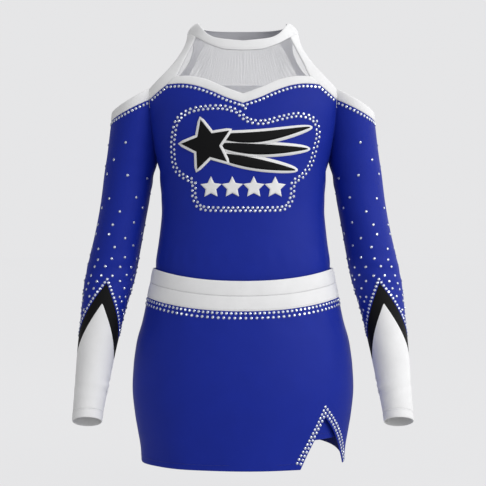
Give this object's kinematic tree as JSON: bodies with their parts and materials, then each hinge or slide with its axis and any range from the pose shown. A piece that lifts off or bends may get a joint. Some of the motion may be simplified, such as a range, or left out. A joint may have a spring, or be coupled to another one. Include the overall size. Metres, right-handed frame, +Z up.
{
  "type": "cheer_uniform",
  "caption": "Two-piece cheer uniform: long-sleeved cold-shoulder top with a sheer yoke and halter bindings, and a short notched skirt with built-in shorts.",
  "frame": {"origin": "on the axis of the wearer's torso, level with the skirt's hem", "axes": "+Z up the body, -Y to the front of the garment, +X to the wearer's left"},
  "size_m": [0.4616, 0.2139, 0.6083],
  "materials": {
    "royal_fabric": "satin stretch knit",
    "white_fabric": "matte stretch knit",
    "black_fabric": "matte stretch knit",
    "net_fabric": "sheer power net",
    "elastic": "ribbed woven elastic",
    "stones": "faceted, foil backed"
  },
  "bodies": {
    "top": {"bodice_front": "royal_fabric", "bodice_back": "royal_fabric", "top_hem_elastic": "elastic", "yoke_front": "net_fabric", "yoke_back": "net_fabric", "sweetheart_band": "white_fabric", "back_band": "white_fabric", "neckband": "white_fabric", "front_binding_left": "white_fabric", "front_binding_right": "white_fabric", "back_binding_left": "white_fabric", "back_binding_right": "white_fabric", "neckline_stones": "stones", "emblem_backing": "white_fabric", "emblem_ribbon": "black_fabric", "emblem_bar": "white_fabric", "emblem_stones": "stones"},
    "left_sleeve": {"sleeve_left": "royal_fabric", "sleeve_chevron_left": "black_fabric", "sleeve_forearm_left": "white_fabric", "sleeve_cuff_left": "white_fabric", "shoulder_band_left": "white_fabric", "shoulder_elastic_left": "elastic", "shoulder_stones_left": "stones", "chevron_stones_left": "stones"},
    "right_sleeve": {"sleeve_right": "royal_fabric", "sleeve_chevron_right": "black_fabric", "sleeve_forearm_right": "white_fabric", "sleeve_cuff_right": "white_fabric", "shoulder_band_right": "white_fabric", "shoulder_elastic_right": "elastic", "shoulder_stones_right": "stones", "chevron_stones_right": "stones"},
    "skirt": {"waistband_upper": "white_fabric", "waistband_lower": "white_fabric", "waist_elastic": "elastic", "skirt_front": "royal_fabric", "skirt_back": "royal_fabric", "waist_stones": "stones", "notch_stones": "stones", "shorts_front": "royal_fabric", "shorts_back": "royal_fabric", "shorts_gusset": "royal_fabric", "leg_elastic_left": "elastic", "leg_elastic_right": "elastic"}
  },
  "joints": [
    {"name": "raise_left", "type": "hinge", "parent": "top", "child": "left_sleeve", "pos_m": [0.128, 0, 0.516], "axis": [0, -1, 0], "range_deg": [0, 100]},
    {"name": "raise_right", "type": "hinge", "parent": "top", "child": "right_sleeve", "pos_m": [-0.128, 0, 0.516], "axis": [0, 1, 0], "range_deg": [0, 100]},
    {"name": "skirt_pull_off", "type": "slide", "parent": "top", "child": "skirt", "axis": [0, 0, -1], "range_m": [0, 0.28]}
  ]
}
